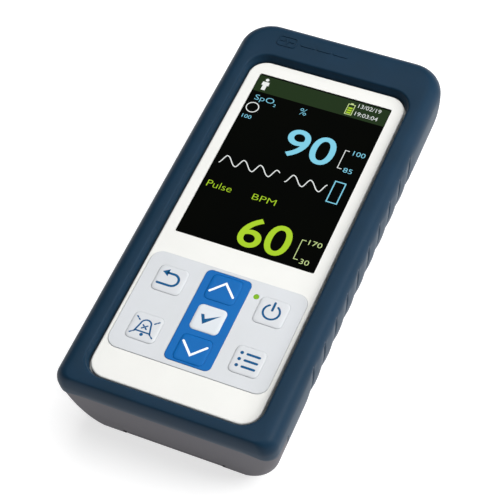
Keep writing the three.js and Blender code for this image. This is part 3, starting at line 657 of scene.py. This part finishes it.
def make_emblem():
    emblem = Sheet("boot_emblem", HEIGHT, EMBLEM_RISE + 0.1)
    frame_half = Vector((3.4, 2.2))
    middle = Vector((-20.5, 73.2))
    corner = 1.0
    outline = []
    for sign_x, sign_y, start in ((1, -1, -90), (1, 1, 0), (-1, 1, 90), (-1, -1, 180)):
        for step in range(5):
            angle = math.radians(start + 22.5 * step)
            outline.append((middle.x + sign_x * (frame_half.x - corner) + corner * math.cos(angle),
                            middle.y + sign_y * (frame_half.y - corner) + corner * math.sin(angle)))
    emblem.stroke(outline, 0.5, closed=True)
    beat = [(-2.4, 0), (-1.2, 0), (-0.6, 1.2), (0.2, -1.3), (0.8, 0.5), (1.2, 0), (2.4, 0)]
    emblem.stroke([(middle.x + x, middle.y + y) for x, y in beat], 0.4)
    for bar in range(3):
        start = middle.x + 5.6 + 6.2 * bar
        emblem.stroke([(start, middle.y + 0.2), (start + 4.4, middle.y + 0.2)], 1.1)
    return emblem.build()


place(soften(make_emblem(), width=0.08, segments=2), RUBBER)

# ---- case halves -----------------------------------------------------------------------------

CASE_SCREWS = ((-24, 66), (24, 66), (-24, -73.2), (24, -73.2))
BOARD_SCREWS = ((-27, -46), (27, -46))
POSTS = BOARD_SCREWS + ((-27, 40), (27, 40))
FACE_SKIN = 2.2
PANEL_SHAPE = dict(half=panel_high.x, low=panel_low.y, top=panel_high.y, radius=4)
STRIP_SHAPE = dict(half=strip_high.x, low=strip_low.y, top=strip_high.y, radius=2)
SCREEN_SHAPE = dict(half=lens_high.x, low=lens_low.y, top=lens_high.y, radius=0.45)
PANEL_SEAT_Z = panel_low.z - 0.1
KEY_NAMES = ("return", "silence", "power", "menu", "up", "ok", "down")
KEY_FLANGE = 0.6
KEY_RADIUS = 1.7


def key_shape(name):
    low, high = extent(f"key_{name}")
    return dict(
        x=(low.x + high.x) / 2,
        half=(high.x - low.x) / 2 - KEY_FLANGE,
        low=low.y + KEY_FLANGE,
        top=high.y - KEY_FLANGE,
        radius=KEY_RADIUS,
    )


def key_hole(name, gap, z_low, z_top):
    return rounded_plate("key_hole", key_shape(name), z_low, z_top, grow=gap)


def straight(inset, z_low, z_top):
    """A straight-sided solid with the case's plan form at the parting line."""
    levels = []
    for z in (z_low, z_top):
        one = body_level(PARTING_Z, inset)
        one["z"] = z
        levels.append(ring(one))
    return loft("straight", levels)


def gasket_groove():
    groove = straight(UNIT_INSET + 0.3, PARTING_Z - 0.8, PARTING_Z + 0.8)
    return carve(groove, straight(UNIT_INSET + 1.7, PARTING_Z - 2, PARTING_Z + 2))


def make_front_case():
    levels = [body_level(PARTING_Z + 0.2, UNIT_INSET)] + unit_levels(SHOULDER_Z - 1, 0)[1:]
    face_edge = 0.55
    levels.append(level(SHOULDER_Z + SHOULDER_R, WINDOW, -FACE_GAP + 0.1))
    for step in range(6):
        turn = math.radians(90 * step / 5)
        pull = face_edge * (1 - math.cos(turn))
        levels.append(level(FACE_Z - face_edge * (1 - math.sin(turn)), WINDOW, -FACE_GAP - pull))
    case = loft("face_and_case", [ring(one) for one in levels])
    hollow = straight(HOLLOW_INSET, PARTING_Z - 1, SHOULDER_Z + 0.8)
    face_hollow = rounded_plate("face_hollow", {**WINDOW, "radius": 3.5}, SHOULDER_Z, FACE_Z - FACE_SKIN,
                                grow=-FACE_GAP - FACE_WALL)
    carve(case, hollow, face_hollow)
    bosses = [drum("boss", x, y, 3, PARTING_Z + 0.2, SHOULDER_Z + 1.4) for x, y in CASE_SCREWS]
    join_solids(case, *bosses)
    holes = [drum("hole", x, y, 1.4, PARTING_Z - 1, 25) for x, y in CASE_SCREWS]
    holes += [key_hole(name, 0.3, SHOULDER_Z, FACE_Z + 1) for name in KEY_NAMES]
    holes.append(rounded_plate("screen_hole", SCREEN_SHAPE, SHOULDER_Z, FACE_Z + 1, grow=0.12))
    holes.append(rounded_plate("panel_seat", PANEL_SHAPE, PANEL_SEAT_Z, FACE_Z + 1,
                               grow=0.06, corner_steps=10))
    lamp = ((led_low + led_high) / 2).xy
    holes.append(drum("lamp_hole", lamp.x, lamp.y, 1.1, SHOULDER_Z, FACE_Z + 1))
    holes.append(gasket_groove())
    carve(case, *holes)
    return soften(case, width=0.12, segments=2, angle=60, smooth=42)


FLARE_TOP_Z = BOOT_LOW_EDGE_Z - CLEAR
FLARE_FACE_Y = -80.7
FLARE_SLOPE = 0.148
CASE_TOP_Z = PARTING_Z - 0.2     # of the rear half
HOLLOW_Z = BOOT_BACK + CLEAR + CASE_WALL


def flare_level(z):
    """The low end of the rear case, out to the boot's own outer form."""
    form = body_level(max(z, PLATEAU_Z))
    form.update(z=z, low=FLARE_FACE_Y + FLARE_SLOPE * (FLARE_TOP_Z - z), top=BOOT_END_Y - CLEAR,
                radius_low=RADIUS_LOW - 1, radius_top=0.4)
    return form


def make_rear_case():
    back_z = rear_low.z + 1.9
    heights = [back_z + (CASE_TOP_Z - back_z) * step / 14 for step in range(15)]
    case = loft("rear_shell", [ring(body_level(z, UNIT_INSET)) for z in heights])
    flare_heights = [PLATEAU_Z + (FLARE_TOP_Z - PLATEAU_Z) * (step / 14) ** 1.6 for step in range(15)]
    flare = loft("flare", [ring(flare_level(z)) for z in flare_heights])
    carve(flare, low_end_room(40, CLEAR))
    plateau = rounded_plate("plateau", {**BACK_WINDOW, "low": -72.5}, PLATEAU_Z, 2.8, grow=-0.5)
    join_solids(case, flare, plateau)
    hollow_heights = [HOLLOW_Z + (PARTING_Z + 1 - HOLLOW_Z) * step / 12 for step in range(13)]
    hollow_levels = [body_level(min(z, PARTING_Z), HOLLOW_INSET) | dict(z=z) for z in hollow_heights]
    hollow = loft("hollow", [ring(one) for one in hollow_levels])
    room_levels = [body_level(z, BOOT_WALL) for z in (CASE_TOP_Z, FLARE_TOP_Z + 1)]
    carve(case, hollow, loft("front_room", [ring(one) for one in room_levels]))
    bosses = [drum("boss", x, y, 4.2, 2.6, CASE_TOP_Z) for x, y in CASE_SCREWS]
    bosses += [drum("post", x, y, 2.6, 4, 20.8) for x, y in POSTS]
    join_solids(case, *bosses)
    door_half, lip_half = DOOR["half"] + DOOR["gap"], DOOR["lip_half"] + DOOR["gap"]
    slot_top = door_high.y + CLEAR
    lip_low, lip_top = DOOR["lip_z"] - CLEAR, door_high.z + CLEAR
    cell_half = CELL_OPENING["half"]
    cuts = [
        block("door_slot", (-door_half, -100, -1), (door_half, slot_top, DOOR["lip_z"])),
        block("lip_slot", (-lip_half, -100, lip_low), (lip_half, slot_top, lip_top)),
        block("cell_opening", (-cell_half, CELL_OPENING["low"], 1), (cell_half, CELL_OPENING["top"], 6)),
        end_hole("plug_bay", PLUG, 73),
        end_hole("usb_hole", USB_HOLE, 72),
        gasket_groove(),
    ]
    cuts += [drum("pocket", x, y, 3, -1, 4.8) for x, y in CASE_SCREWS]
    cuts += [drum("shank_hole", x, y, 1.5, 4, PARTING_Z) for x, y in CASE_SCREWS]
    cuts += [drum("pilot", x, y, 1.3, 14, 21) for x, y in BOARD_SCREWS]
    for row in range(GRILLE["rows"]):
        low = GRILLE["low"] + GRILLE["pitch"] * row
        slot_shape = dict(half=GRILLE["half"], low=low, top=low + GRILLE["width"], radius=0.75)
        cuts.append(rounded_plate("grille_slot", slot_shape, -1, 6))
    carve(case, *cuts)
    return soften(case, width=0.3, segments=3, angle=50, smooth=42)


place(make_front_case(), WHITE, nodes=["front_case"])
place(make_rear_case(), GREY, nodes=["rear_case"])

# ---- key panel -------------------------------------------------------------------------------

SHADOW_GAP = 0.05
KEY_SINK = 0.12        # the caps stand this much lower than in the CAD
CUT_LOW_Z, CUT_TOP_Z = 25, 32      # past both faces of the panel


def make_panel():
    panel = rounded_plate("key_panel", PANEL_SHAPE, panel_low.z, panel_high.z, edge=0.25, corner_steps=12)
    holes = [key_hole(name, SHADOW_GAP, CUT_LOW_Z, CUT_TOP_Z) for name in KEY_NAMES[:4]]
    holes.append(rounded_plate("strip_hole", STRIP_SHAPE, CUT_LOW_Z, CUT_TOP_Z, grow=0.08, corner_steps=8))
    lamp = ((led_low + led_high) / 2).xy
    holes.append(drum("lamp_hole", lamp.x, lamp.y, 1.0, CUT_LOW_Z, CUT_TOP_Z))
    return soften(carve(panel, *holes), width=0.06, segments=2, angle=60)


def make_strip():
    strip = rounded_plate("key_strip", STRIP_SHAPE, strip_low.z, strip_high.z, edge=0.2, corner_steps=10)
    holes = [key_hole(name, SHADOW_GAP, CUT_LOW_Z, CUT_TOP_Z) for name in KEY_NAMES[4:]]
    return soften(carve(strip, *holes), width=0.06, segments=2, angle=60)


def make_key(name):
    """A soft pillow: straight skirt, then a broad rounded edge up to a nearly flat top."""
    shape = key_shape(name)
    low, high = extent(f"key_{name}")
    plunger = {**shape, "half": 1.5, "low": (shape["low"] + shape["top"]) / 2 - 1.5,
               "top": (shape["low"] + shape["top"]) / 2 + 1.5, "radius": 1}
    levels = [level(low.z, plunger), level(low.z + 0.7, plunger), level(low.z + 0.7, shape, KEY_FLANGE),
              level(low.z + 1.6, shape, KEY_FLANGE), level(low.z + 1.6, shape)]
    top_z = high.z - KEY_SINK
    pillow = top_z - panel_high.z
    for step in range(9):
        turn = math.radians(90 * step / 8)
        levels.append(level(top_z - pillow * (1 - math.sin(turn)), shape, -1.3 * (1 - math.cos(turn))))
    key = loft(f"cap_{name}", [ring(one, (), 8, 4) for one in levels])
    return soften(key, width=0)


KEY_MATERIAL = dict(up=BLUE, down=BLUE, ok=KEY_WHITE)

place(make_panel(), PANEL, nodes=["keypad_overlay"])
place(make_strip(), BLUE, nodes=["nav_strip"])
for key_name in KEY_NAMES:
    place(make_key(key_name), KEY_MATERIAL.get(key_name, PANEL), f"{key_name}_key", [f"key_{key_name}"])


# ---- printed marks on the keys ---------------------------------------------------------------


def arc(x, y, radius, start, end, steps=16):
    turns = [math.radians(start + (end - start) * n / steps) for n in range(steps + 1)]
    return [(x + radius * math.cos(turn), y + radius * math.sin(turn)) for turn in turns]


def mark_return(sheet):
    bend = arc(0.6, 0, 2.3, -90, 90)
    sheet.stroke([(-3.7, -2.3), *bend, (-1.6, 2.3)], 0.85)
    sheet.fill([(-3.6, 2.35), (-1.4, 0.9), (-1.4, 3.8)])


def mark_silence(sheet):
    dome = arc(0, 0.9, 1.8, 180, 0)
    sheet.stroke([(-2.6, -1.9), *dome, (2.6, -1.9)], 0.55, closed=True)
    sheet.disc(0.1, -2.9, 0.6)
    for side in (-1, 1):
        for near, far in ((0.25, 0.8), (2.6, 3.0), (3.4, 3.9)):
            sheet.stroke([(side * near, near * 0.82), (side * far, far * 0.82)], 0.5)
            sheet.stroke([(side * near, -near * 0.82), (side * far, -far * 0.82)], 0.5)


def mark_power(sheet):
    sheet.hoop(0, 0, 2.75, 0.72, start=122, sweep=296)
    sheet.stroke([(0, 0.7), (0, 3.7)], 0.8)


def mark_menu(sheet):
    for row in (-2.4, 0, 2.4):
        sheet.disc(-2.8, row, 0.6)
        sheet.stroke([(-0.9, row), (3.2, row)], 0.85)


def mark_up(sheet):
    sheet.stroke([(-4.1, -1.9), (0, 2.4), (4.1, -1.9)], 0.78)


def mark_down(sheet):
    sheet.stroke([(-4.1, 2.1), (0, -2.2), (4.1, 2.1)], 0.78)


def mark_ok(sheet):
    sheet.fill([(-3.0, 1.2), (-1.9, 1.3), (-1.1, -0.3), (3.5, 2.4), (-1.2, -2.4)])


MARKS = {
    "return": mark_return,
    "silence": mark_silence,
    "power": mark_power,
    "menu": mark_menu,
    "up": mark_up,
    "down": mark_down,
    "ok": mark_ok,
}

for key_name, draw in MARKS.items():
    key_top = extent(f"key_{key_name}")[1].z - KEY_SINK
    print_sheet = Sheet(f"mark_{key_name}", key_top + 0.015)
    draw(print_sheet)
    shape = key_shape(key_name)
    centre = Vector((shape["x"], (shape["low"] + shape["top"]) / 2, 0))
    mark = print_sheet.build()
    mark.data.transform(Matrix.Translation(centre * MM))
    place(mark, WHITE_INK if key_name in ("up", "down") else INK, f"{key_name}_key")


# ---- lamp ------------------------------------------------------------------------------------


def make_lamp():
    middle = (led_low + led_high) / 2
    lamp = drum("lamp", middle.x, middle.y, 0.9, led_low.z, led_high.z, 24)
    return soften(lamp, width=0.2, segments=3)


place(make_lamp(), LAMP, nodes=["led_light_pipe"])

# ---- screen ----------------------------------------------------------------------------------

ACTIVE_HALF_X = 24.5
ACTIVE_HALF_Y = 36.75
BAR_LOW = 28.9
WAVE = dict(step=6.1, crest_x=-20.9, top=-1.6, height=3.6, fall=0.7, spacing=0.15)


def bracket(sheet, x, low, top, width):
    """An open square bracket that joins a high and a low limit."""
    sheet.stroke([(x + 1.5, top), (x, top), (x, low), (x + 1.5, low)], width, caps=False)


def draw_person(sheet):
    """A plain standing figure from simple shapes."""
    sheet.disc(0, 4.2, 0.65, 14)
    sheet.fill([(-1.2, 3.2), (1.2, 3.2), (1.35, 1.6), (0.75, 1.6), (0.75, -0.6), (-0.75, -0.6),
                (-0.75, 1.6), (-1.35, 1.6)])


def draw_battery(sheet):
    sheet.stroke([(-1.2, 0), (1.2, 0), (1.2, 4.6), (-1.2, 4.6)], 0.28, closed=True)
    sheet.fill([(-0.5, 4.75), (0.5, 4.75), (0.5, 5.2), (-0.5, 5.2)])


def draw_battery_bars(sheet):
    for row in range(3):
        low = 0.45 + 1.05 * row
        sheet.fill([(-0.8, low), (0.8, low), (0.8, low + 0.7), (-0.8, low + 0.7)])


def wave(x_from, x_to):
    """A pulse trace: quick rise, rounded top, slower fall over a share of each step."""
    points = []
    fall = WAVE["fall"]
    count = int((x_to - x_from) / WAVE["spacing"])
    for n in range(count + 1):
        x = x_from + (x_to - x_from) * n / count
        phase = ((x - WAVE["crest_x"]) / WAVE["step"]) % 1
        share = phase / fall if phase < fall else (1 - phase) / (1 - fall)
        points.append((x, WAVE["top"] - WAVE["height"] * (0.5 - 0.5 * math.cos(math.pi * share))))
    return points


def screen_sheets():
    top = lens_high.z + 0.02
    white = Sheet("screen_figures_white", top)
    blue = Sheet("screen_figures_blue", top)
    lime = Sheet("screen_figures_lime", top)
    pale = Sheet("screen_figures_pale", top)
    bar = Sheet("screen_bar", top - 0.01)
    bar.fill([(-ACTIVE_HALF_X, BAR_LOW), (ACTIVE_HALF_X, BAR_LOW), (ACTIVE_HALF_X, ACTIVE_HALF_Y - 0.4),
              (-ACTIVE_HALF_X, ACTIVE_HALF_Y - 0.4)])

    white.add(draw_person, -21.2, 30.6)
    pale.add(draw_battery, 10.9, 29.9)
    lime.add(draw_battery_bars, 10.9, 29.9)

    white.text("13/02/19", 13.2, 33.9, 1.75, 8.3, -0.006)
    white.text("19:03:04", 13.2, 30.3, 1.75, 8.3, -0.006)
    blue.text("SpO", -22.4, 24.3, 3.1, 7.2, -0.012)
    blue.text("2", -14.9, 24.1, 1.2, 0.9, -0.006)
    blue.text("%", -5.2, 24.1, 2.9, 2.6, -0.012)
    white.hoop(-21.4, 21.4, 2.2, 0.34)
    blue.text("100", -23.4, 16.1, 1.6, 3.4, -0.006)
    blue.text("90", -4.8, 5.4, 12.4, 18.0, 0.008)
    bracket(white, 16.1, 6.6, 14.6, 0.26)
    blue.text("100", 19.0, 13.4, 2.0, 4.3, -0.006)
    blue.text("85", 18.3, 5.5, 2.0, 3.2, -0.006)
    white.stroke(wave(-22.6, -1.4), 0.36)
    white.stroke(wave(1.6, 15.6), 0.36)
    blue.stroke([(17.7, -8), (21.4, -8), (21.4, 1), (17.7, 1)], 0.4, closed=True)
    lime.text("Pulse", -22.8, -16.0, 2.7, 9.0, -0.014)
    lime.text("BPM", -6.1, -15.9, 2.4, 8.4, -0.014)
    lime.text("60", -4.6, -35.0, 12.6, 17.9, 0.008)
    bracket(pale, 16.3, -33.6, -25.6, 0.26)
    pale.text("170", 18.7, -26.8, 2.0, 4.6, -0.006)
    pale.text("30", 18.6, -34.8, 2.0, 3.2, -0.006)
    return (
        (white, SCREEN_WHITE),
        (blue, SCREEN_BLUE),
        (lime, SCREEN_LIME),
        (pale, SCREEN_PALE),
        (bar, SCREEN_BAR),
    )


def make_window():
    window = rounded_plate("screen_window", SCREEN_SHAPE, lens_low.z, lens_high.z, edge=0.1, corner_steps=4)
    return soften(window, width=0)


place(make_window(), GLASS, nodes=["display_lens"])
for one_sheet, glow in screen_sheets():
    figures = one_sheet.build()
    figures.data.transform(Matrix.Translation(Vector((0, SCREEN_Y, 0)) * MM))
    place(figures, glow)


# ---- pieces that keep their CAD shape with rounded edges --------------------------------------


def refined(node, material, body="monitor", width=0.2, segments=2, angle=35):
    """A copy of a CAD node with its edges softened."""
    copy = bpy.data.objects.new(f"{node}_fine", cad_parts[node].data.copy())
    bpy.context.scene.collection.objects.link(copy)
    cleaner = bmesh.new()
    cleaner.from_mesh(copy.data)
    bmesh.ops.remove_doubles(cleaner, verts=cleaner.verts, dist=1e-6)
    bmesh.ops.dissolve_limit(cleaner, angle_limit=math.radians(1), verts=cleaner.verts, edges=cleaner.edges)
    cleaner.to_mesh(copy.data)
    cleaner.free()
    soften(copy, width, segments, angle)
    return place(copy, material, body, [node])


refined("battery_door", GREY, "door", 0.15)
refined("usb_flap", FLAP_RUBBER, "flap", 0.25, 3)
refined("sensor_socket_shell", TIN, width=0.12)
refined("sensor_socket_insert", SOCKET_BLUE, width=0.08)
refined("usb_socket", TIN, width=0.1)
refined("rating_label", LABEL, "door", 0.04)

# ---- the pieces inside keep their CAD shape ----------------------------------------------------

INSIDE = {
    TIN: ["shield_can", "contact_terminal_1", "contact_terminal_2", "contact_bridge"]
    + [f"switch_{name}" for name in KEY_NAMES],
    STEEL: ["battery_spring_1", "battery_spring_2", "board_screw_1", "board_screw_2"]
    + [f"case_screw_{count}" for count in range(1, 5)],
    BLACK: ["lcd_panel", "lcd_frame", "speaker", "battery_tray"],
    BOARD: ["main_board", "connector_board"],
    FLEX: ["display_flex"],
    GASKET: ["case_gasket"],
    SLEEVE: [f"battery_cell_{count}" for count in range(1, 5)],
}

for finish, node_names in INSIDE.items():
    for node_name in node_names:
        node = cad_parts[node_name]
        node.data.materials.clear()
        node.data.materials.append(finish)

# ---- floor, light and camera -------------------------------------------------------------------

FLOOR_HALF = 3000
WORLD_LEVEL = 0.14
CAMERA = dict(azimuth=27.18, elevation=54.34, roll=5.258, distance=539.05, lens=118.25)
AIM = Vector((1.738, -14.372, FACE_Z))


def make_floor():
    floor = block("floor", (-FLOOR_HALF, -FLOOR_HALF, -4), (FLOOR_HALF, FLOOR_HALF, 0))
    paper = surface("floor_paper", "c8c8c8", "cccccc", 0.8, mottle=3, grain=300, bump=0.02,
                    Emission_Color=(1, 1, 1, 1), Emission_Strength=0.65)
    floor.data.materials.append(paper)


def area_light(name, spot, target, size, power):
    """A soft white light. Its place, target and size are in metres."""
    data = bpy.data.lights.new(name, "AREA")
    data.shape = "RECTANGLE"
    data.size, data.size_y = size
    data.energy = power
    light = bpy.data.objects.new(name, data)
    light.location = spot
    light.rotation_euler = (Vector(target) - Vector(spot)).to_track_quat("-Z", "Y").to_euler()
    bpy.context.scene.collection.objects.link(light)


def make_camera():
    azimuth = math.radians(CAMERA["azimuth"])
    elevation = math.radians(CAMERA["elevation"])
    flat = math.cos(elevation)
    back = Vector((math.sin(azimuth) * flat, -math.cos(azimuth) * flat, math.sin(elevation)))
    data = bpy.data.cameras.new("camera")
    data.lens = CAMERA["lens"]
    data.sensor_width = 36
    data.clip_start = 0.01
    camera = bpy.data.objects.new("camera", data)
    turn = (-back).to_track_quat("-Z", "Y").to_matrix().to_4x4()
    turn = turn @ Matrix.Rotation(math.radians(-CAMERA["roll"]), 4, "Z")
    camera.matrix_world = Matrix.Translation((AIM + back * CAMERA["distance"]) * MM) @ turn
    bpy.context.scene.collection.objects.link(camera)
    bpy.context.scene.camera = camera


def make_world():
    world = bpy.data.worlds.new("studio")
    world.use_nodes = True
    background = world.node_tree.nodes["Background"]
    background.inputs["Color"].default_value = (1, 1, 1, 1)
    background.inputs["Strength"].default_value = WORLD_LEVEL
    bpy.context.scene.world = world


make_floor()
make_world()
make_camera()
area_light("overhead", (0.1, 0.5, 1.4), (0, 0, 0), (1.5, 1.5), 19.5)
area_light("key", (1.1, 0.4, 0.7), (0, 0, 0), (0.8, 0.8), 15)
area_light("glint", (0.85, -0.54, 0.66), (0, -0.08, 0), (0.15, 0.15), 1.0)
bpy.context.scene.view_settings.view_transform = "Standard"
